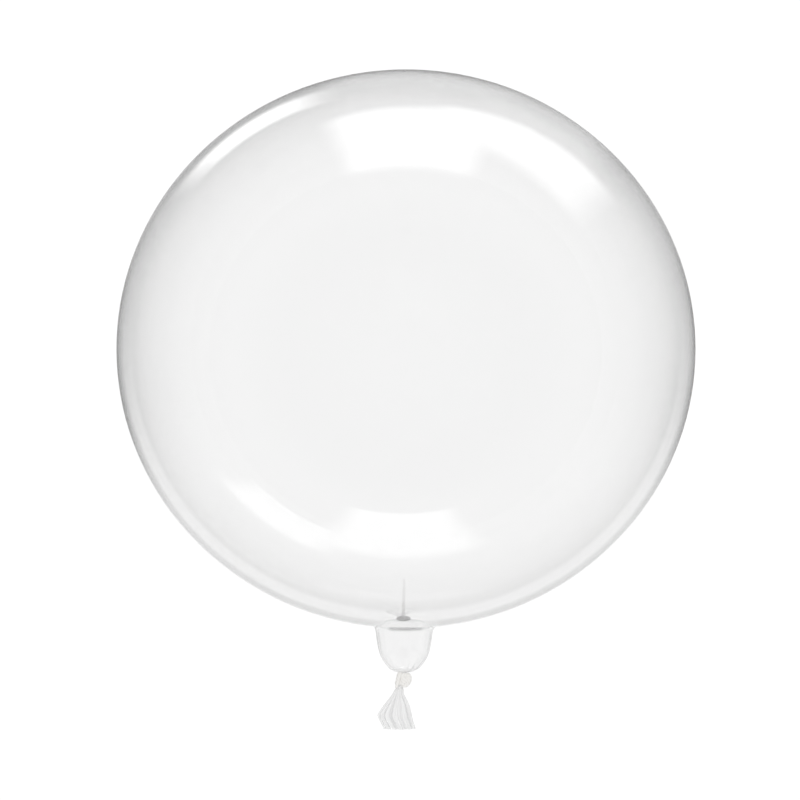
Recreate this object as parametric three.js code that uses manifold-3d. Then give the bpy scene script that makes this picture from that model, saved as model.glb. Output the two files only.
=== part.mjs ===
// A clear bubble balloon lying on its side: one blown bag of clear film, with its neck pointing along -Y,
// gathered in pleats, tied round with a soft cord and cut off square as a short ruffled tail.
// Millimetres, +Z up. The origin is the middle of the small flat spot that the balloon lies on.
import * as THREE from 'three';
import { mergeVertices } from 'three/addons/utils/BufferGeometryUtils.js';
import Module from 'manifold-3d';

const wasm = await Module();
wasm.setup();

// Driving dimensions. "Along" is always the distance from the ball's centre towards the tail.
const BALL_WIDTH = 457; // an 18 inch ball, measured square to the neck
const BALL_LENGTH = 441; // along the neck, where the blown film has stretched a little less
const REST_SPOT_RADIUS = 32; // the film flattens this far round the point it lies on
const PLEATS = 12; // folds round the gathered neck
const TIE_START = 256.5; // where the cord's first turn begins
const TIE_TURNS = 3;
const CORD_WIDTH = 4.0; // one turn of the cord, along the neck
const CORD_THICKNESS = 1.9;
const CORD_GAP = 0.5; // clearance between the cord and the pleats under it
const KNOT_SIDE = 3.5; // how far the knot's loop sits to the right of the gathered neck
const KNOT_LIFT = 4.5; // and above it
const KNOT_RADIUS = 2.6; // of the loop's centre line
const KNOT_STRETCH = 1.3; // the loop is longer than it is wide
const SHORT_END = { side: -3.2, lift: 4.5, halfLength: 5.6 }; // the cord's end, laid down on the left

// Facets
const SIDES = 72; // round every section of the film
const BALL_RINGS = 23;
const NECK_STEP = 4; // longest step between two rings of the neck and tail
const CORD_SIDES = 24;
const LOOP_SIDES = 18;

// The neck from the ball to the cut end. Each section is an ellipse with the given half width and half
// depth, shifted sideways from the ball's centre line, and its pleats fold this far in from that ellipse.
const NECK = [
  { along: 219.3, width: 26.4, depth: 26.4, shift: -0.5, pleat: 0 },
  { along: 221.0, width: 23.9, depth: 23.9, shift: -1.1, pleat: 0 },
  { along: 223.4, width: 23.0, depth: 23.0, shift: -1.3, pleat: 0 },
  { along: 230.6, width: 21.9, depth: 21.9, shift: -1.4, pleat: 0 },
  { along: 237.7, width: 20.6, depth: 20.6, shift: -1.4, pleat: 0 },
  { along: 243.0, width: 19.0, depth: 19.0, shift: -1.4, pleat: 0 },
  { along: 247.2, width: 16.8, depth: 16.8, shift: -1.4, pleat: 0.3 },
  { along: 250.8, width: 14.0, depth: 14.0, shift: -1.4, pleat: 0.6 },
  { along: 254.2, width: 10.6, depth: 10.5, shift: -1.5, pleat: 0.9 },
  { along: 255.3, width: 8.6, depth: 8.5, shift: -1.7, pleat: 1.0 },
  { along: 255.8, width: 5.4, depth: 5.3, shift: -1.9, pleat: 0.9 },
  { along: 256.1, width: 3.4, depth: 3.4, shift: -2.0, pleat: 0.6 },
  { along: 256.5, width: 2.6, depth: 2.6, shift: -2.1, pleat: 0.4 },
  { along: 261.8, width: 2.4, depth: 2.4, shift: -3.3, pleat: 0.4 },
  { along: 268.4, width: 2.6, depth: 2.6, shift: -5.0, pleat: 0.4 },
  { along: 269.9, width: 3.6, depth: 3.5, shift: -5.4, pleat: 0.7 },
  { along: 273.2, width: 4.6, depth: 4.2, shift: -6.2, pleat: 1.1 },
  { along: 278.0, width: 7.7, depth: 4.9, shift: -6.8, pleat: 1.6 },
  { along: 283.0, width: 10.9, depth: 5.5, shift: -7.7, pleat: 2.0 },
  { along: 287.5, width: 13.0, depth: 6.0, shift: -8.7, pleat: 2.2 },
  { along: 290.5, width: 14.1, depth: 6.3, shift: -9.0, pleat: 2.4 },
  { along: 295.0, width: 13.7, depth: 6.5, shift: -7.6, pleat: 2.5 },
  { along: 301.2, width: 13.2, depth: 6.7, shift: -5.2, pleat: 2.6 },
];

// Worked out from them
const ballRadius = BALL_WIDTH / 2;
const ballHalfLength = BALL_LENGTH / 2;
const spotDepth = ballRadius - Math.sqrt(ballRadius ** 2 - REST_SPOT_RADIUS ** 2);
const centreHeight = ballRadius - spotDepth;

const neckKeys = ['width', 'depth', 'shift', 'pleat'];
const neckCurve = new THREE.CubicInterpolant(
  NECK.map((station) => station.along),
  NECK.flatMap((station) => neckKeys.map((key) => station[key])),
  neckKeys.length,
);

function neckSection(along) {
  const [width, depth, shift, pleat] = neckCurve.evaluate(along);
  return { along, width, depth, shift, pleat };
}

// Ring by ring along the ball, from the far pole to where the neck's fillet starts
function ballSections() {
  const lastAngle = Math.PI - Math.asin(NECK[0].width / ballRadius);
  const sections = [];
  for (let ring = 1; ring < BALL_RINGS; ring += 1) {
    const angle = (lastAngle * ring) / BALL_RINGS;
    const radius = ballRadius * Math.sin(angle);
    sections.push({
      along: -ballHalfLength * Math.cos(angle), width: radius, depth: radius, shift: 0, pleat: 0,
    });
  }
  return sections;
}

// The neck's rings, close enough together to follow its bends
function neckSections() {
  const sections = [neckSection(NECK[0].along)];
  for (let i = 1; i < NECK.length; i += 1) {
    const from = NECK[i - 1];
    const to = NECK[i];
    const steps = Math.ceil(Math.hypot(to.along - from.along, to.width - from.width) / NECK_STEP);
    for (let step = 1; step <= steps; step += 1) {
      sections.push(neckSection(THREE.MathUtils.lerp(from.along, to.along, step / steps)));
    }
  }
  return sections;
}

// A point of one section, on its ellipse or folded in from it by the pleats
function sectionPoint({ along, width, depth, shift, pleat }, side) {
  const angle = (side / SIDES) * Math.PI * 2;
  const across = Math.cos(angle);
  const up = Math.sin(angle);
  const outward = new THREE.Vector2(across / width, up / depth).normalize();
  const fold = pleat * (0.5 - 0.5 * Math.cos(PLEATS * angle));
  return [
    shift + width * across - fold * outward.x,
    -along,
    centreHeight + depth * up - fold * outward.y,
  ];
}

// A closed skin over a row of sections, with a point or the last section's middle closing each end
function loft(sections, firstPoint, lastPoint) {
  const positions = [...firstPoint];
  const faces = [];
  const vertex = (ring, side) => 1 + ring * SIDES + (side % SIDES);
  const last = sections.length - 1;
  const lastVertex = 1 + sections.length * SIDES;
  for (const section of sections) {
    for (let side = 0; side < SIDES; side += 1) positions.push(...sectionPoint(section, side));
  }
  positions.push(...lastPoint);
  for (let side = 0; side < SIDES; side += 1) {
    faces.push(0, vertex(0, side + 1), vertex(0, side));
    for (let ring = 0; ring < last; ring += 1) {
      faces.push(vertex(ring, side), vertex(ring, side + 1), vertex(ring + 1, side));
      faces.push(vertex(ring, side + 1), vertex(ring + 1, side + 1), vertex(ring + 1, side));
    }
    faces.push(lastVertex, vertex(last, side), vertex(last, side + 1));
  }
  const geometry = new THREE.BufferGeometry();
  geometry.setAttribute('position', new THREE.Float32BufferAttribute(positions, 3));
  geometry.setIndex(faces);
  return geometry;
}

function toSolid(geometry) {
  const bare = geometry.clone();
  bare.deleteAttribute('normal');
  bare.deleteAttribute('uv');
  const merged = mergeVertices(bare, 1e-4);
  return new wasm.Manifold(new wasm.Mesh({
    numProp: 3,
    vertProperties: new Float32Array(merged.attributes.position.array),
    triVerts: new Uint32Array(merged.index.array),
  }));
}

function toGeometry(solid) {
  const mesh = solid.getMesh();
  const geometry = new THREE.BufferGeometry();
  geometry.setAttribute('position', new THREE.Float32BufferAttribute(mesh.vertProperties, 3));
  geometry.setIndex([...mesh.triVerts]);
  geometry.computeVertexNormals();
  return geometry;
}

// The film: ball, neck and tail are one blown bag, cut flat where it lies
function filmGeometry() {
  const sections = [...ballSections(), ...neckSections()];
  const cutEnd = sections.at(-1);
  const bag = loft(
    sections,
    [0, ballHalfLength, centreHeight],
    [cutEnd.shift, -cutEnd.along, centreHeight],
  );
  const below = new THREE.BoxGeometry(BALL_WIDTH, BALL_WIDTH, spotDepth * 2);
  below.translate(0, 0, -spotDepth);
  return toGeometry(toSolid(bag).subtract(toSolid(below)));
}

// Moves a shape made round the ball's centre line onto the gathered neck, which leans to the left
function ontoNeck(geometry) {
  const { position } = geometry.attributes;
  for (let i = 0; i < position.count; i += 1) {
    const { shift } = neckSection(-position.getY(i));
    position.setX(i, position.getX(i) + shift);
    position.setZ(i, position.getZ(i) + centreHeight);
  }
  return geometry;
}

// The turns of cord side by side, as one ring with a rounded ridge for each turn
function cordTurns() {
  const inside = NECK.find((station) => station.along > TIE_START + CORD_WIDTH).width + CORD_GAP;
  const tieEnd = TIE_START + TIE_TURNS * CORD_WIDTH;
  const profile = [new THREE.Vector2(inside, -tieEnd), new THREE.Vector2(inside, -TIE_START)];
  for (let turn = 0; turn < TIE_TURNS; turn += 1) {
    const middle = TIE_START + (turn + 0.5) * CORD_WIDTH;
    for (const swing of [-60, -30, 0, 30, 60]) {
      const angle = THREE.MathUtils.degToRad(swing);
      const along = middle + (CORD_WIDTH / 2) * Math.sin(angle);
      const radius = inside + (CORD_THICKNESS * (1 + Math.cos(angle))) / 2;
      profile.push(new THREE.Vector2(radius, -along));
    }
  }
  profile.push(profile[0].clone());
  return ontoNeck(new THREE.LatheGeometry(profile.reverse(), CORD_SIDES));
}

// The knot, drawn up as one tight loop lying on the turns
function knotLoop() {
  const loop = new THREE.TorusGeometry(KNOT_RADIUS, CORD_WIDTH / 2, 10, LOOP_SIDES);
  loop.scale(1, KNOT_STRETCH, 1);
  loop.translate(KNOT_SIDE, -(TIE_START + (TIE_TURNS * CORD_WIDTH) / 2), KNOT_LIFT);
  return ontoNeck(loop);
}

// The short end of the cord, lying along the neck beside the knot
function shortEnd() {
  const end = new THREE.SphereGeometry(1, 12, 8);
  end.scale(CORD_WIDTH / 2, SHORT_END.halfLength, CORD_THICKNESS / 2);
  end.translate(SHORT_END.side, -(TIE_START + (TIE_TURNS * CORD_WIDTH) / 2), SHORT_END.lift);
  return ontoNeck(end);
}

function tieGeometry() {
  return toGeometry(toSolid(cordTurns()).add(toSolid(knotLoop())).add(toSolid(shortEnd())));
}

const clearFilm = new THREE.MeshStandardMaterial({
  color: 0xf4f5f6, roughness: 0.05, metalness: 0, transparent: true, opacity: 0.35,
});
const softCord = new THREE.MeshStandardMaterial({ color: 0xe4e1da, roughness: 0.75, metalness: 0 });

const film = new THREE.Mesh(filmGeometry(), clearFilm);
film.name = 'balloon_film';

const tie = new THREE.Mesh(tieGeometry(), softCord);
tie.name = 'neck_tie';

const balloon = new THREE.Group();
balloon.add(film, tie);

export default balloon;
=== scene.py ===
# %% [markdown]
# # A clear bubble balloon, lying on its side
# The balloon is one bag of clear film blown into a ball. Its neck is gathered into pleats, tied round with
# a soft cord and cut off square, so that a short ruffled tail is left. The construction model gives the
# places and sizes; here each piece gets its fine surface and its finish.

# %% Load the frame
import math

import bpy
import numpy as np
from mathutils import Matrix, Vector


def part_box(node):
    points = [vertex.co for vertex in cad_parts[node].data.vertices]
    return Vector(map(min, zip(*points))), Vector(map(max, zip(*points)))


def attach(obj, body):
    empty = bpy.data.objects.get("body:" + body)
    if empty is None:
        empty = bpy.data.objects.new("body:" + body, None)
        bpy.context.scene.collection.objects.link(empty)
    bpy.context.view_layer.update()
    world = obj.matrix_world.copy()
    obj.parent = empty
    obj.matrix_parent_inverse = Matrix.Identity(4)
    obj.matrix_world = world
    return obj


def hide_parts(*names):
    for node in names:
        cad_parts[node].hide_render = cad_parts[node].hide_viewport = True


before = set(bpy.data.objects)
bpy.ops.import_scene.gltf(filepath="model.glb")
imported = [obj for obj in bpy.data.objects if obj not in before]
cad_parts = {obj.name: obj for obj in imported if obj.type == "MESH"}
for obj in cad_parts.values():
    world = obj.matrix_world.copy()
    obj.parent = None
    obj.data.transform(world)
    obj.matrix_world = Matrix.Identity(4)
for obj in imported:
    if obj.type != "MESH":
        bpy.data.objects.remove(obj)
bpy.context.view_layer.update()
print("nodes:", sorted(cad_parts))

# %% [markdown]
# The places come from the box of the film. Its far end in +Y is the ball's pole, its top is the ball's top,
# and the ball's centre lies half the box's width below that. The radius is the ball's real size, because the
# box of a faceted solid falls a hair short of it.

# %% Measure the ball
MM = 0.001
BALL_WIDTH = 457 * MM
film_low, film_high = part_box("balloon_film")
ball_radius = BALL_WIDTH / 2
ball_half_length = film_high.y
ball_centre = Vector((0, 0, film_high.z - (film_high.x - film_low.x) / 2))
print("ball radius", ball_radius, "half length", round(ball_half_length, 4), "centre", ball_centre)

# %% [markdown]
# ## The camera
# A balloon is mostly seen hanging or floating, with its neck below it. This one lies down, so the camera
# looks straight down on it and the neck points to the bottom of the frame. It stands well back with a long
# lens, so that the outline stays close to a true ellipse.

# %% Place the camera
camera_distance = 8.5 * ball_radius
ball_share_of_half_frame = 0.724  # the outline's half width, as a share of the frame's half width
camera_offset = Vector((-4.7 * MM, -40.05 * MM, camera_distance))  # towards the neck, to centre it all
camera_data = bpy.data.cameras.new("camera")
camera_data.sensor_width = 36
half_frame_slope = math.tan(math.asin(ball_radius / camera_distance)) / ball_share_of_half_frame
camera_data.lens = camera_data.sensor_width / 2 / half_frame_slope
camera_data.clip_end = 50
camera = bpy.data.objects.new("camera", camera_data)
camera.location = ball_centre + camera_offset
bpy.context.scene.collection.objects.link(camera)
bpy.context.scene.camera = camera
print("lens", round(camera_data.lens, 1), "mm")

# %% [markdown]
# ## Tools for finishes
# A finish is a tree of shader nodes. Written node by node it is hard to read, so one small class wraps a
# socket and lets sums and products of sockets be written as plain expressions, and another holds the
# tree and adds any other node from its type, its settings and its inputs.

# %% A socket that does sums
class Wire:
    def __init__(self, finish, socket):
        self.finish = finish
        self.socket = socket

    def math(self, operation, a, b):
        return self.finish.node("ShaderNodeMath", {"operation": operation}, {0: a, 1: b})

    def __add__(self, other):
        return self.math("ADD", self, other)

    def __sub__(self, other):
        return self.math("SUBTRACT", self, other)

    def __rsub__(self, other):
        return self.math("SUBTRACT", other, self)

    def __mul__(self, other):
        return self.math("MULTIPLY", self, other)

    def __gt__(self, other):
        return self.math("GREATER_THAN", self, other)

    def __lt__(self, other):
        return self.math("LESS_THAN", self, other)

    __radd__ = __add__
    __rmul__ = __mul__


print("socket sums ready")

# %% A finish, and the one way to add a node to it
def grey(level):
    return (level, level, level, 1)


class Finish:
    def __init__(self, owner):
        owner.use_nodes = True
        self.tree = owner.node_tree
        self.tree.nodes.clear()

    def node(self, kind, settings=None, inputs=None, output=0):
        made = self.tree.nodes.new(kind)
        for name, value in (settings or {}).items():
            if name == "stops":
                self.set_stops(made.color_ramp, value)
            else:
                setattr(made, name, value)
        for name, value in (inputs or {}).items():
            if isinstance(value, Wire):
                self.tree.links.new(value.socket, made.inputs[name])
            else:
                made.inputs[name].default_value = value
        return Wire(self, made.outputs[output]) if made.outputs else made

    def set_stops(self, ramp, stops):
        while len(ramp.elements) < len(stops):
            ramp.elements.new(0.5)
        for element, (place, shade) in zip(ramp.elements, stops):
            element.position = place
            element.color = grey(shade)

    def ease(self, value, start, end, low=0.0, high=1.0):
        """Goes softly from low to high while the value goes from start to end."""
        return self.node("ShaderNodeMapRange", {"interpolation_type": "SMOOTHSTEP"}, {
            "Value": value, "From Min": start, "From Max": end, "To Min": low, "To Max": high,
        })

    def tint(self, mask, colour_a, colour_b):
        """Mixes two colours by a mask. A Math node would turn them grey.

        The Mix node's sockets for colours are its inputs 6 and 7 and its output 2.
        """
        return self.node("ShaderNodeMix", {"data_type": "RGBA"}, {
            0: mask, 6: colour_a, 7: colour_b,
        }, output=2)

    def part(self, vector, axis):
        """One of a vector's three numbers: X, Y or Z."""
        return self.node("ShaderNodeSeparateXYZ", inputs={"Vector": vector}, output=axis)

    def noise(self, place, scale, detail=2.0):
        return self.node("ShaderNodeTexNoise", inputs={"Vector": place, "Scale": scale, "Detail": detail})


def new_finish(name):
    material = bpy.data.materials.new(name)
    return material, Finish(material)


print("finish tools ready")

# %% [markdown]
# ## The film's shape
# The ball is a spheroid, a little shorter along the neck than across it. The neck is a row of sections:
# each is an ellipse with a half width and half depth, shifted sideways, and its pleats fold in from that
# ellipse. A smooth curve through the rows gives every ring between them.

# %% The neck's sections, in millimetres
# distance from the ball's centre, half width, half depth, sideways shift, depth of the pleats
NECK_SECTIONS = np.array([
    (219.3, 26.4, 26.4, -0.5, 0.0),
    (221.0, 23.9, 23.9, -1.1, 0.0),
    (223.4, 23.0, 23.0, -1.3, 0.0),
    (230.6, 21.9, 21.9, -1.4, 0.0),
    (237.7, 20.6, 20.6, -1.4, 0.0),
    (243.0, 19.0, 19.0, -1.4, 0.0),
    (247.2, 16.8, 16.8, -1.4, 0.3),
    (250.8, 14.0, 14.0, -1.4, 0.6),
    (254.2, 10.6, 10.5, -1.5, 0.9),
    (255.3, 8.6, 8.5, -1.7, 1.0),
    (255.8, 5.4, 5.3, -1.9, 0.9),
    (256.1, 3.4, 3.4, -2.0, 0.6),
    (256.5, 2.6, 2.6, -2.1, 0.4),
    (261.8, 2.4, 2.4, -3.3, 0.4),
    (268.4, 2.6, 2.6, -5.0, 0.4),
    (269.9, 3.6, 3.5, -5.4, 0.7),
    (273.2, 4.6, 4.2, -6.2, 1.1),
    (278.0, 7.7, 4.9, -6.8, 1.6),
    (283.0, 10.9, 5.5, -7.7, 2.0),
    (287.5, 13.0, 6.0, -8.7, 2.2),
    (290.5, 14.1, 6.3, -9.0, 2.4),
    (295.0, 13.7, 6.5, -7.6, 2.5),
    (301.2, 13.2, 6.7, -5.2, 2.6),
]) * MM


def slope_between(before, after):
    """The gentler of two slopes that agree, or level where the curve turns, so that it never overshoots."""
    gentler = np.where(abs(before) < abs(after), before, after)
    return np.where(before * after > 0, np.clip((before + after) / 2, -2 * abs(gentler), 2 * abs(gentler)), 0)


places, values = NECK_SECTIONS[:, 0], NECK_SECTIONS[:, 1:]
steepness = np.diff(values, axis=0) / np.diff(places)[:, None]
slopes = np.vstack([steepness[:1], slope_between(steepness[:-1], steepness[1:]), steepness[-1:]])


def neck_section(along):
    """Half width, half depth, shift and pleat depth at a distance along the neck, on a smooth curve."""
    i = int(np.clip(np.searchsorted(places, along) - 1, 0, len(places) - 2))
    step = places[i + 1] - places[i]
    t = (along - places[i]) / step
    start = (1 + 2 * t) * (1 - t) ** 2 * values[i] + t * (1 - t) ** 2 * step * slopes[i]
    end = t * t * (3 - 2 * t) * values[i + 1] + t * t * (t - 1) * step * slopes[i + 1]
    return start + end


def ease(value, start, end):
    """From 0 at the start to 1 at the end, softly."""
    t = np.clip((value - start) / (end - start), 0, 1)
    return t * t * (3 - 2 * t)


neck_start, tail_end = NECK_SECTIONS[0, 0], NECK_SECTIONS[-1, 0]
print("neck", round(neck_start, 4), "to", round(tail_end, 4), "m from the centre")

# %% [markdown]
# Film that is gathered by hand never folds evenly. The pleats here keep their number and depth, but a slow
# wave sets them closer together in some places, they lean a little on their way to the cut end, and thin
# wrinkles run between them. Round the mouth of the neck, where the film is pulled from the wide ball into
# the narrow cup, faint creases of tension run along it.

# %% Pleats, wrinkles and tension creases
SIDES = 288
angles = np.arange(SIDES) * math.tau / SIDES
PLEATS = 12
WRINKLES = 29
CREASES = 17
CREASE_DEPTH = 0.16 * MM
PLEAT_LEAN = 5.0  # in radians for each metre along the neck
PLEAT_SHARE = 0.76  # of a fold's depth
WRINKLE_SHARE = 0.24
tie_place = 262.9 * MM


def folds(along):
    """Pleats and wrinkles round one section, from 0 on a ridge to 1 in a fold."""
    lean = PLEAT_LEAN * (along - tie_place)
    uneven = angles + lean + 0.10 * np.sin(2 * angles + 1.3) + 0.05 * np.sin(5 * angles + 0.4)
    pleats = 0.5 - 0.5 * np.cos(PLEATS * uneven)
    strength = 0.82 + 0.18 * np.sin(3 * angles + 70 * along)
    wrinkles = 0.5 - 0.5 * np.cos(WRINKLES * uneven + 40 * along + np.sin(4 * angles))
    return PLEAT_SHARE * pleats * strength + WRINKLE_SHARE * wrinkles


def tension(along):
    """Faint creases round the neck's mouth, as a depth."""
    near_mouth = ease(along, 200 * MM, 222 * MM) * (1 - ease(along, 226 * MM, 252 * MM))
    creases = np.cos(CREASES * angles + 2 * np.sin(3 * angles)) * (0.5 + 0.5 * np.sin(2 * angles + 0.6))
    return CREASE_DEPTH * near_mouth * (1 + creases)


print("pleats", PLEATS, "wrinkles", WRINKLES, "creases", CREASES)

# %% [markdown]
# The film is drawn as one sheet from the ball's far pole to the cut edge of the tail, and then given a
# thickness. Glass-like film needs both its faces: light bends on the way in and back on the way out, and
# with a single face the ball would look like a lump of solid glass.

# %% Draw the film's rings
BALL_RINGS = 74
NECK_RINGS = 78
FOOT_SOFTNESS = 0.3 * MM  # how softly the film rolls off the flat spot


def ring_points(along, width, depth, shift, pleat):
    across, up = np.cos(angles), np.sin(angles)
    outward = np.stack([across / width, up / depth], 1)
    outward /= np.linalg.norm(outward, axis=1)[:, None]
    fold = pleat * folds(along) + tension(along)
    x = shift + width * across - fold * outward[:, 0]
    z = ball_centre.z + depth * up - fold * outward[:, 1]
    z = 0.5 * (z + np.sqrt(z * z + FOOT_SOFTNESS**2))
    return np.stack([x, np.full(SIDES, -along), z], 1)


def ball_ring(angle):
    radius = ball_radius * math.sin(angle)
    return ring_points(-ball_half_length * math.cos(angle), radius, radius, 0.0, 0.0)


last_angle = math.pi - math.asin(NECK_SECTIONS[0, 1] / ball_radius)
rings = [ball_ring(last_angle * (i + 0.5) / BALL_RINGS) for i in range(BALL_RINGS)]
layers = [np.zeros(SIDES)] * BALL_RINGS
for along in np.linspace(neck_start, tail_end, NECK_RINGS):
    rings.append(ring_points(along, *neck_section(along)))
    layers.append(folds(along) * ease(along, 246 * MM, 262 * MM))
print(len(rings), "rings of", SIDES, "points")

# %% [markdown]
# The film and the cord are both rows of points that run round, so one helper joins such rows into a sheet.
# It closes an end with a single point where it is given one, and leaves it open otherwise.

# %% Turn rows of points into a mesh
def skin(name, rows, start_point=None, end_point=None):
    """A sheet over rows of points that run round and close on themselves, with a point to close each end."""
    count, sides = len(rows), len(rows[0])
    points = [tuple(p) for row in rows for p in row]
    faces = []
    for row in range(count - 1):
        for side in range(sides):
            a = row * sides + side
            b = row * sides + (side + 1) % sides
            faces.append((a, b, b + sides, a + sides))
    if start_point is not None:
        points.append(tuple(start_point))
        faces += [(len(points) - 1, (side + 1) % sides, side) for side in range(sides)]
    if end_point is not None:
        points.append(tuple(end_point))
        last = (count - 1) * sides
        faces += [(len(points) - 1, last + side, last + (side + 1) % sides) for side in range(sides)]
    mesh = bpy.data.meshes.new(name)
    mesh.from_pydata(points, [], faces)
    mesh.shade_smooth()
    made = bpy.data.objects.new(name, mesh)
    bpy.context.scene.collection.objects.link(made)
    return made


print("skin tool ready")

# %% [markdown]
# Each point of the sheet keeps a number for how deep it lies in a fold, which the finish reads later. The
# edges of the last ring are marked sharp, so that the cut looks cut. A Solidify modifier gives the thickness.

# %% Make the sheet and thicken it
FILM_THICKNESS = 0.12 * MM
film = skin("bubble_film", rings, start_point=(0, ball_half_length, ball_centre.z))
film.data.attributes.new("layers", "FLOAT", "POINT").data.foreach_set("value", [*np.concatenate(layers), 0.0])
first_of_cut = (len(rings) - 1) * SIDES
for edge in film.data.edges:
    edge.use_edge_sharp = all(first_of_cut <= v < first_of_cut + SIDES for v in edge.vertices)
thicken = film.modifiers.new("thickness", "SOLIDIFY")
thicken.thickness = FILM_THICKNESS
thicken.offset = -1
print("film faces:", len(film.data.polygons))

# %% [markdown]
# ## Clear film
# Blown film is perfectly clear and very glossy. It is made with plain transmission. Near the outline, where
# the eye looks along the film, the base colour darkens: this is painted shade, deeper than the film's own
# faint grey, which helps draw the dark band round the rim.
# The neck isn't stretched as thin as the ball, and where it is gathered many layers lie on each other, so
# there
# it turns a little milky: a mask along the neck makes it greyer and rougher, and mixes in a cloudy finish
# that scatters light. In the pleats' folds both are darker, partly for the doubled film and partly as painted
# shade.

# %% The film's colour from ball to tail
GATHERED_FROM = 0.2515  # along the neck, in metres from the ball's centre
GATHERED_TO = 0.262
# painted shade: the base colour's grey darkens from face on towards the outline
PAINTED_RIM_SHADE_STOPS = [  # how the film is seen, from 0 face on to 1 edge on, and its grey there
    (0.0, 0.972), (0.20, 0.957), (0.40, 0.918), (0.56, 0.872),
    (0.69, 0.80), (0.76, 0.77), (0.86, 0.82), (1.0, 0.88),
]
clear_film, f = new_finish("clear_film")
facing = f.node("ShaderNodeLayerWeight", inputs={"Blend": 0.5}, output="Facing")
# the painted rim shade, read from how edge on the film is seen
painted_rim_shade = f.node("ShaderNodeValToRGB", {"stops": PAINTED_RIM_SHADE_STOPS}, {"Fac": facing})
place = f.node("ShaderNodeTexCoord", output="Object")
toward_tail = 0.0 - f.part(place, "Y")
gathered = f.ease(toward_tail, GATHERED_FROM, GATHERED_TO)
layers_here = f.node("ShaderNodeAttribute", {"attribute_name": "layers"}, output="Fac")
# greyer in the folds: partly for the doubled film there, partly painted shade
milky_with_fold_shade = f.tint(layers_here, grey(0.975), grey(0.90))
ball_to_tail = f.tint(gathered, painted_rim_shade, milky_with_fold_shade)
print("gathered from", GATHERED_FROM, "to", GATHERED_TO)

# %% [markdown]
# A dark crescent on top of the neck's mouth, where the ball turns into the cup, is painted shade: colour and
# not shape or light. Its mask is a short band along the neck, narrow across, on the upper side and close to
# the ball's
# long axis: without that last limit it would also colour the steep wall of the ball above the neck.

# %% The painted shade at the neck's mouth
# the grey of the painted shade at the neck's mouth
LIP_PAINTED_SHADE = 0.54
LIP_STARTS = (0.2145, 0.2160)  # along the neck, in metres from the ball's centre
LIP_ENDS = (0.2222, 0.2200)
LIP_UPWARD = (0.013, 0.023)  # above the ball's centre, in metres
LIP_ACROSS = (0.00026, 0.00011)  # the square of the distance to the side, in square metres
LIP_FROM_AXIS = (0.00122, 0.00078)  # the square of the distance from the ball's long axis
across = f.part(place, "X")
upward = f.part(place, "Z") - ball_centre.z
# painted shade: a dark crescent put into the base colour at the neck's mouth
painted_lip_shade = f.ease(toward_tail, *LIP_STARTS) * f.ease(toward_tail, *LIP_ENDS)
painted_lip_shade = painted_lip_shade * f.ease(across * across, *LIP_ACROSS)
painted_lip_shade = painted_lip_shade * f.ease(upward, *LIP_UPWARD) * f.ease(across * across + upward * upward, *LIP_FROM_AXIS)
print("crescent from", LIP_STARTS[0], "to", LIP_ENDS[0])

# %% [markdown]
# The gloss isn't perfect either. Slow waves bend the reflections a little, fine crinkles roughen the
# gathered part, and faint smears change the roughness.

# %% Clear film finish
CLOUDY_SHARE = 0.6  # of the gathered film
waves = f.noise(place, 9.0)
crinkle = f.noise(place, 420.0, 3.0)
ripple = f.node("ShaderNodeBump", inputs={
    "Strength": 0.03, "Distance": 0.001, "Height": waves + gathered * crinkle * 0.8,
})
smears = f.noise(place, 30.0, 4.0)
# the base colour carries the painted rim shade, the fold shade and the painted shade at the neck's mouth
shine = f.node("ShaderNodeBsdfPrincipled", inputs={
    "Base Color": f.tint(painted_lip_shade, ball_to_tail, grey(LIP_PAINTED_SHADE)),
    "Roughness": smears * 0.03 + 0.01 + gathered * 0.05,
    "IOR": 1.45,
    "Transmission Weight": 1.0,
    "Normal": ripple,
})
# its base colour is darker in the folds: partly for the doubled film, partly painted shade
cloud = f.node("ShaderNodeBsdfPrincipled", inputs={
    "Base Color": f.tint(layers_here, grey(0.82), grey(0.68)),
    "Roughness": 0.5,
    "Specular IOR Level": 0.2,
    "Normal": ripple,
})
clear_or_cloudy = f.node("ShaderNodeMixShader", inputs={0: gathered * CLOUDY_SHARE, 1: shine, 2: cloud})
f.node("ShaderNodeOutputMaterial", inputs={"Surface": clear_or_cloudy})
film.data.materials.append(clear_film)
film.visible_shadow = False
film.visible_diffuse = False
print("clear film made")

# %% [markdown]
# ## The cord round the neck
# A thick soft cord goes three times round the gathered neck and is drawn up in a small knot on the right,
# with one short end laid down on the left. Cord is yarn twisted together, so a plain tube would look like
# plastic. Each section here is a ring with three lobes, and the lobes turn as the section moves along the
# cord's path, which gives the rope-like ridges as real shape.

# %% Twisted cord along a path
CORD_WIDTH = 3.7 * MM
CORD_THICKNESS = 1.9 * MM
PLIES = 3
PLY_DEPTH = 0.13  # how deep the grooves between the plies are, as a share of the cord's radius
TWIST_LENGTH = 6.5 * MM  # along the cord, for one full turn of its plies
CORD_SIDES = 30


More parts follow.
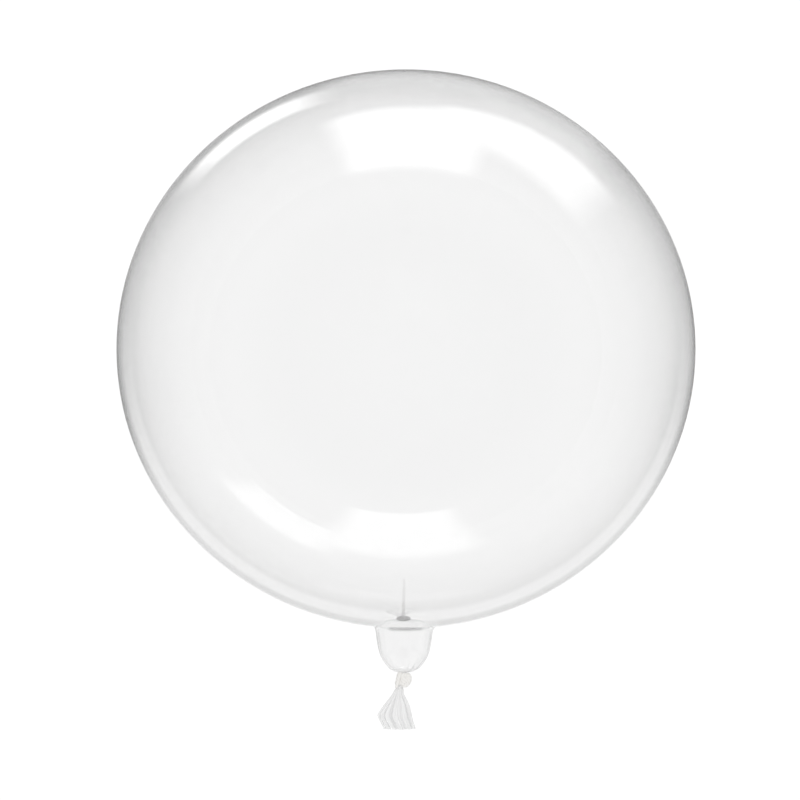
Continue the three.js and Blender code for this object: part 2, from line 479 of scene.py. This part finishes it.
def twisted_cord(name, points, outward, closed=False, taper=0.0):
    """A flattened three-ply cord along the points; outward says which way its flat side faces."""
    points, outward = np.array(points), np.array(outward)
    ahead = np.roll(points, -1, 0) - np.roll(points, 1, 0)
    if not closed:
        ahead[0], ahead[-1] = points[1] - points[0], points[-1] - points[-2]
    ahead /= np.linalg.norm(ahead, axis=1)[:, None]
    sideways = np.cross(ahead, outward)
    sideways /= np.linalg.norm(sideways, axis=1)[:, None]
    upward = np.cross(sideways, ahead)
    travelled = np.concatenate([[0], np.cumsum(np.linalg.norm(np.diff(points, axis=0), axis=1))])
    turns = travelled / TWIST_LENGTH
    if closed:
        whole = travelled[-1] + np.linalg.norm(points[0] - points[-1])
        turns = travelled / whole * round(whole / TWIST_LENGTH)
    spin = np.arange(CORD_SIDES) * math.tau / CORD_SIDES
    rows, grooves = [], []
    for i, point in enumerate(points):
        groove = np.abs(np.cos(PLIES / 2 * (spin - math.tau * turns[i]))) ** 6
        lobes = (1 - PLY_DEPTH * groove) * (1 - taper * (i / (len(points) - 1)) ** 3)
        grooves += list(groove)
        side = (CORD_WIDTH / 2 * lobes * np.cos(spin))[:, None] * sideways[i]
        up = (CORD_THICKNESS / 2 * lobes * np.sin(spin))[:, None] * upward[i]
        rows.append(point + side + up)
    if closed:
        made = skin(name, rows + rows[:1])
        grooves += grooves[:CORD_SIDES]
    else:
        made = skin(name, rows, start_point=points[0], end_point=points[-1])
        grooves += [0, 0]
    made.data.attributes.new("groove", "FLOAT", "POINT").data.foreach_set("value", grooves)
    return made


print("cord", CORD_WIDTH, "by", CORD_THICKNESS)

# %% [markdown]
# The turns are a helix round the neck, a little short of three whole turns. The neck leans to the left below
# the ball, so each point of the helix takes the neck's own shift there. The knot is a loop that lies on top,
# and a short length of cord fills its middle, as where a cord comes up through its own loop.

# %% Wind the turns, the knot and the short end
TIE_START = 255.9 * MM
TIE_TURNS = 3
TURN_PITCH = 4.15 * MM
TURN_STEPS = 40
SHORT_OF_WHOLE = 0.1  # in turns
HELIX_STARTS = 0.15  # in turns, from +X towards +Z
INNER_RADIUS = 2.9 * MM  # just clear of the gathered neck
turns_wound = TIE_TURNS - SHORT_OF_WHOLE
cord_radius = INNER_RADIUS + CORD_THICKNESS / 2


def on_neck(across, along, up):
    shift = neck_section(along)[2]
    return np.array([shift + across, -along, ball_centre.z + up])


def turns_path():
    points, outward = [], []
    steps = round(TURN_STEPS * turns_wound)
    for i in range(steps + 1):
        turn = i / TURN_STEPS
        angle = math.tau * (turn + HELIX_STARTS)
        along = TIE_START + TURN_PITCH * (0.5 + turn * (TIE_TURNS - 1) / turns_wound)
        points.append(on_neck(cord_radius * math.cos(angle), along, cord_radius * math.sin(angle)))
        outward.append((math.cos(angle), 0, math.sin(angle)))
    return points, outward


KNOT_SIDE = 3.5 * MM
KNOT_LIFT = 4.5 * MM
KNOT_RADIUS = 2.6 * MM
KNOT_STRETCH = 1.6
KNOT_WAVE = 0.3 * MM  # how far the loop rises and falls
KNOT_TILT = 0.25
CORE_HALF_LENGTH = 2.6 * MM
CORE_LIFT = KNOT_LIFT + 0.2 * MM
END_HALF_LENGTH = 6.0 * MM
END_SIDE = 2.6 * MM
END_BOW = 0.5 * MM  # how far its middle bends out to the side
END_LIFT = 3.8 * MM
END_ARCH = 0.9 * MM  # how far its middle rises
END_TILT = 0.35
tie_middle = TIE_START + TIE_TURNS * TURN_PITCH / 2


def knot_path():
    points, outward = [], []
    for i in range(TURN_STEPS):
        angle = math.tau * i / TURN_STEPS
        lift = KNOT_LIFT + KNOT_WAVE * math.sin(angle + 0.7)
        across = KNOT_SIDE + KNOT_RADIUS * math.cos(angle)
        points.append(on_neck(across, tie_middle + KNOT_STRETCH * KNOT_RADIUS * math.sin(angle), lift))
        outward.append((KNOT_TILT * math.cos(angle), -KNOT_TILT * math.sin(angle), 1))
    return points, outward


def knot_core_path():
    """The short length of cord in the middle of the loop."""
    points, outward = [], []
    for t in np.linspace(0, 1, 12):
        points.append(on_neck(KNOT_SIDE, tie_middle + CORE_HALF_LENGTH * (2 * t - 1), CORE_LIFT))
        outward.append((0, 0, 1))
    return points, outward


def short_end_path():
    points, outward = [], []
    for t in np.linspace(0, 1, 26):
        across = -END_SIDE - END_BOW * math.sin(math.pi * t)
        along = tie_middle + END_HALF_LENGTH * (2 * t - 1)
        lift = END_LIFT + END_ARCH * math.sin(math.pi * t) ** 0.6
        points.append(on_neck(across, along, lift))
        outward.append((-END_TILT, 0, 1))
    return points, outward


cord_turns = twisted_cord("tie_turns", *turns_path())
cord_knot = twisted_cord("tie_knot", *knot_path(), closed=True)
cord_end = twisted_cord("tie_short_end", *short_end_path(), taper=0.5)
cord_core = twisted_cord("tie_knot_core", *knot_core_path(), taper=0.3)
cord_pieces = (cord_turns, cord_knot, cord_end, cord_core)
print("cord faces:", [len(o.data.polygons) for o in cord_pieces])

# %% [markdown]
# The cord is bleached cotton: matt and off-white, with fine fibres that catch the light. Its colour is darker
# and warmer in the grooves between its plies, which is painted shade. The fibres are a very fine noise fed to
# a bump.

# %% Soft cord finish
soft_cord, f = new_finish("soft_cord")
place = f.node("ShaderNodeTexCoord", output="Object")
fibres = f.node("ShaderNodeTexNoise", inputs={
    "Vector": place, "Scale": 1800.0, "Detail": 4.0, "Roughness": 0.7,
})
patches = f.noise(place, 260.0, 3.0)
groove = f.node("ShaderNodeAttribute", {"attribute_name": "groove"}, output="Fac")
yarn = f.tint(patches, (0.81, 0.805, 0.785, 1), (0.74, 0.73, 0.71, 1))
# painted shade: darker, warmer colour in the grooves between the plies
yarn = f.tint(groove * 0.4, yarn, (0.60, 0.56, 0.53, 1))
fluff = f.node("ShaderNodeBump", inputs={"Strength": 0.5, "Distance": 0.0004, "Height": fibres})
cotton = f.node("ShaderNodeBsdfPrincipled", inputs={
    "Base Color": yarn,
    "Roughness": fibres * 0.15 + 0.8,
    "Sheen Weight": 0.25,
    "Specular IOR Level": 0.25,
    "Normal": fluff,
})
f.node("ShaderNodeOutputMaterial", inputs={"Surface": cotton})
for piece in cord_pieces:
    piece.data.materials.append(soft_cord)
print("soft cord made")

# %% [markdown]
# ## Stage
# A plain pale floor under a soft sun. Everything else that the film mirrors is made here too: clear film
# on a white floor has almost no look of its own, and what draws the ball is the room in its reflections.

# %% Floor
FLOOR_SIZE = 30.0
FLOOR_DROP = 0.5 * MM  # under the film, so that the two share no face
half = FLOOR_SIZE / 2
floor_corners = [(-half, -half, 0), (half, -half, 0), (half, half, 0), (-half, half, 0)]
floor_mesh = bpy.data.meshes.new("floor")
floor_mesh.from_pydata(floor_corners, [], [(0, 1, 2, 3)])
floor = bpy.data.objects.new("floor", floor_mesh)
floor.location.z = -FLOOR_DROP
bpy.context.scene.collection.objects.link(floor)
floor_paint, f = new_finish("floor_paint")
paper = f.node("ShaderNodeBsdfPrincipled", inputs={
    "Base Color": grey(0.9), "Roughness": 0.9, "Specular IOR Level": 0.0,
})
f.node("ShaderNodeOutputMaterial", inputs={"Surface": paper})
floor_mesh.materials.append(floor_paint)
floor.visible_glossy = False
print("floor", FLOOR_SIZE, "m wide")

# %% Sun
SUN = 2.45
SUN_SPREAD = math.radians(100)  # as wide as this, a sun casts no hard shadow
sun_data = bpy.data.lights.new("soft_sun", "SUN")
sun_data.energy = SUN
sun_data.angle = SUN_SPREAD
sun = bpy.data.objects.new("soft_sun", sun_data)
sun.visible_glossy = False
sun.visible_transmission = False
bpy.context.scene.collection.objects.link(sun)
print("sun", SUN)

# %% [markdown]
# The room round the balloon is the world. A ray that has been mirrored by the film sees a greyer room than
# a ray that goes straight through: dark at the sides, paler above and on the tail's side, with one pale ring
# low down, like the edge of a white table, which draws the thin pale line just inside the ball's outline.

# %% The room that the film mirrors
CEILING = 0.47
world = bpy.data.worlds.new("studio")
bpy.context.scene.world = world
f = Finish(world)
direction = f.node("ShaderNodeTexCoord", output="Generated")
height = f.part(direction, "Z")
flat = f.node("ShaderNodeVectorMath", {"operation": "MULTIPLY"}, {0: direction, 1: (1, 1, 0)})
compass = f.node("ShaderNodeVectorMath", {"operation": "NORMALIZE"}, {0: flat})
north = f.part(compass, "Y")
open_room = f.ease(height, 0.05, 0.75, 1.0, 0.42)
walls = f.ease(height, -0.9, -0.2, 0.10, 0.24)
straight_down = f.ease(height, -0.94, -0.985, 0.0, 0.35)
tail_side = f.ease(north, -0.1, -0.65, 0.0, 0.75)
low_north = f.ease(height, -0.90, -0.96) * f.ease(north, 0.2, 0.6) * f.ease(north, 1.0, 0.8)
sides = walls + straight_down + tail_side + low_north * 0.3
ring_height = f.ease(height, -0.91, -0.83) * f.ease(height, -0.69, -0.77)
ring = ring_height * f.ease(north, 0.3, -0.4, 0.08, 0.65)
above = f.ease(height, -0.4, 0.5)
mirrored_room = (sides + ring) * (1 - above) + CEILING * above
mirrored = f.node("ShaderNodeLightPath", output="Is Reflection Ray")
level = f.node("ShaderNodeMix", {"data_type": "FLOAT"}, {
    "Factor": mirrored, "A": open_room, "B": mirrored_room,
})
backdrop = f.node("ShaderNodeBackground", inputs={"Strength": level})
f.node("ShaderNodeOutputWorld", inputs={"Surface": backdrop})
world.cycles.sampling_method = "NONE"
print("room made")

# %% [markdown]
# The bright patches on the ball are softboxes, made as glowing cards with soft edges. A near card shows only
# on the wall nearest the eye, and a far card only on the wall behind it, seen through the ball: that light
# has passed through more faces of the film, which the light path's transmission depth counts. Some rays drop
# straight onto a far card without crossing the ball first. For how far from the ball's axis they land, they
# have come a long way from the film, which the ray's length tells, and the card shows only faintly to them.

# %% Things that show only in the film's reflections
def only_mirrored(name, mesh, material):
    """Puts a mesh into the scene, out of sight of the camera and of the floor."""
    mesh.materials.append(material)
    material.cycles.emission_sampling = "NONE"
    made = bpy.data.objects.new(name, mesh)
    bpy.context.scene.collection.objects.link(made)
    made.visible_camera = False
    made.visible_diffuse = False
    made.visible_shadow = False


def glow_or_nothing(f, mask, glow):
    """The surface glows where the mask is 1 and isn't there where it is 0."""
    nothing = f.node("ShaderNodeBsdfTransparent")
    either = f.node("ShaderNodeMixShader", inputs={0: mask, 1: nothing, 2: glow})
    f.node("ShaderNodeOutputMaterial", inputs={"Surface": either})


def has_been_mirrored(f):
    return f.node("ShaderNodeLightPath", output="Glossy Depth") > 0.5


print("reflection tools ready")

# %% Softbox finish
# Light mirrored by the near wall has crossed at most 2 faces of film, and light from the far wall at least 4.
BETWEEN_WALLS = 3
DROPPED_SHARE = 0.4  # how much of a far card shows to a ray that didn't cross the ball


def crossed_the_ball(f, margin):
    """Whether the ray is shorter than its end's distance from the ball's axis, by a margin in ball radii."""
    place = f.node("ShaderNodeTexCoord", output="Object")
    plan = f.node("ShaderNodeVectorMath", {"operation": "MULTIPLY"}, {0: place, 1: (1, 1, 0)})
    from_axis = f.node("ShaderNodeVectorMath", {"operation": "LENGTH"}, {0: plan}, output="Value")
    travelled = f.node("ShaderNodeLightPath", output="Ray Length")
    return from_axis - margin * ball_radius > travelled


def glow_finish(name, power, soft_u, soft_v, margin):
    """A card's light: soft at its four edges, and only there for rays that the film has mirrored."""
    glow, f = new_finish(name)
    spot = f.node("ShaderNodeTexCoord", output="UV")
    u, v = f.part(spot, "X"), f.part(spot, "Y")
    edge = f.ease(u, 0.0, soft_u) * f.ease(u, 1.0, 1.0 - soft_u)
    edge = edge * (f.ease(v, 0.0, soft_v) * f.ease(v, 1.0, 1.0 - soft_v))
    edge = edge * has_been_mirrored(f)
    crossings = f.node("ShaderNodeLightPath", output="Transmission Depth")
    if margin is None:
        edge = edge * (crossings < BETWEEN_WALLS)
    else:
        dimmed = crossed_the_ball(f, margin) * (1 - DROPPED_SHARE) + DROPPED_SHARE
        edge = edge * (crossings > BETWEEN_WALLS) * dimmed
    light = f.node("ShaderNodeEmission", inputs={"Strength": power})
    glow_or_nothing(f, edge, light)
    return glow


print("softbox finish ready")

# %% Softbox cards
CARD_STEPS = 16
SIDE_BOX_DISTANCE = 3.0  # from the ball's axis, in ball radii


def card(name, corners, power, soft_u, soft_v, margin=None):
    """A glowing sheet between four corners, each from the ball's centre in ball radii: x, y, z.

    A card with a margin is a far card. The margin is the one that crossed_the_ball takes.
    """
    lower_left, lower_right, upper_right, upper_left = [np.array(c) for c in corners]
    points, faces, spots = [], [], []
    for i in range(CARD_STEPS + 1):
        for j in range(CARD_STEPS + 1):
            u, v = i / CARD_STEPS, j / CARD_STEPS
            low = (1 - u) * lower_left + u * lower_right
            high = (1 - u) * upper_left + u * upper_right
            points.append(tuple(Vector((1 - v) * low + v * high) * ball_radius + ball_centre))
            spots.append((u, v))
    for i in range(CARD_STEPS):
        for j in range(CARD_STEPS):
            a = i * (CARD_STEPS + 1) + j
            faces.append((a, a + CARD_STEPS + 1, a + CARD_STEPS + 2, a + 1))
    mesh = bpy.data.meshes.new(name)
    mesh.from_pydata(points, [], faces)
    uv = mesh.uv_layers.new(name="spot")
    for loop in mesh.loops:
        uv.data[loop.index].uv = spots[loop.vertex_index]
    only_mirrored(name, mesh, glow_finish(name, power, soft_u, soft_v, margin))


def around(azimuth, height):
    """A point round the ball: degrees from +Y towards +X, and height in ball radii."""
    turn = math.radians(azimuth)
    return (SIDE_BOX_DISTANCE * math.sin(turn), SIDE_BOX_DISTANCE * math.cos(turn), height)


back_near = [(-0.98, 2.4, -0.26), (1.08, 2.4, -0.30), (1.02, 2.4, 1.36), (-0.90, 2.4, 1.36)]
side_near = [around(0, -0.55), around(56, -0.95), around(56, 0.95), around(0, 0.50)]
low_near = [(-1.52, 0.875, -0.98), (-0.33, 1.75, -0.98), (-0.66, 2.86, -0.98), (-2.22, 1.62, -0.98)]
back_far = [(-0.18, 0.42, -0.98), (0.18, 0.34, -0.98), (0.92, 2.4, -0.08), (-0.78, 2.4, -0.04)]
side_far = [(0.04, 0.20, -0.985), (0.16, 0.12, -0.985), (1.9, 1.65, -0.9), (0.62, 2.4, -0.9)]
card("back_box_near", back_near, power=2.0, soft_u=0.18, soft_v=0.16)
card("side_box_near", side_near, power=1.9, soft_u=0.24, soft_v=0.24)
card("low_box_near", low_near, power=2.0, soft_u=0.4, soft_v=0.3)
card("back_box_far", back_far, power=2.5, soft_u=0.22, soft_v=0.16, margin=0.42)
card("side_box_far", side_far, power=2.4, soft_u=0.25, soft_v=0.14, margin=0.29)
print("three near cards and two far cards made")

# %% [markdown]
# Just above the neck, the film also shows a dark thread and a dark bead. They are taken for the mirror images
# of something that hung from the tie. That isn't part of the balloon, so it stays on the stage as two flat
# plates that only mirrored rays can see.

# %% Thread and bead, seen only in the film's reflections
MIRRORED_LIFT = 25.0  # just over the neck, in millimetres from its axis
BEAD_MIDDLE = (-2.2, 244.5)  # across, and along the neck from the ball's centre, in millimetres
BEAD_RADII = (6.4, 8.5)
BEAD_SIDES = 32


def mirrored_plate(name, outline, shade):
    mesh = bpy.data.meshes.new(name)
    points = [(x * MM, -along * MM, ball_centre.z + MIRRORED_LIFT * MM) for x, along in outline]
    mesh.from_pydata(points, [], [tuple(range(len(points)))])
    dull_plate, f = new_finish(name)
    dull = f.node("ShaderNodeEmission", inputs={"Color": shade})
    glow_or_nothing(f, has_been_mirrored(f), dull)
    only_mirrored(name, mesh, dull_plate)


bead = []
for angle in np.linspace(0, math.tau, BEAD_SIDES, endpoint=False):
    x = BEAD_MIDDLE[0] + BEAD_RADII[0] * math.cos(angle)
    along = BEAD_MIDDLE[1] + BEAD_RADII[1] * math.sin(angle)
    bead.append((x, along))
thread = [(-3.9, 248), (-0.7, 248), (-1.4, 520), (-6.4, 520)]
mirrored_plate("mirrored_bead", bead, grey(0.02))
mirrored_plate("mirrored_thread", thread, (0.30, 0.28, 0.285, 1))
print("thread and bead made")

# %% [markdown]
# ## Settings and frame
# A ray through a clear ball crosses four faces of film and may be mirrored on the way, so it needs many
# bounces before it is cut off. The plain view transform keeps the white floor white.

# %% Light and colour settings
scene = bpy.context.scene
scene.view_settings.view_transform = "Standard"
scene.cycles.max_bounces = 24
scene.cycles.transmission_bounces = 24
scene.cycles.glossy_bounces = 10
scene.cycles.caustics_reflective = False
scene.cycles.caustics_refractive = False
print("bounces", scene.cycles.max_bounces)

# %% [markdown]
# Every piece rides on the balloon's one body. The film stands for the film's solid, and the lengths of cord
# together stand for the tie's solid.

# %% Fasten the pieces to the frame
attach(film, "root")
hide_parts("balloon_film")
for piece in cord_pieces:
    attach(piece, "root")
    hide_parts("neck_tie")
print("pieces fastened:", 1 + len(cord_pieces))
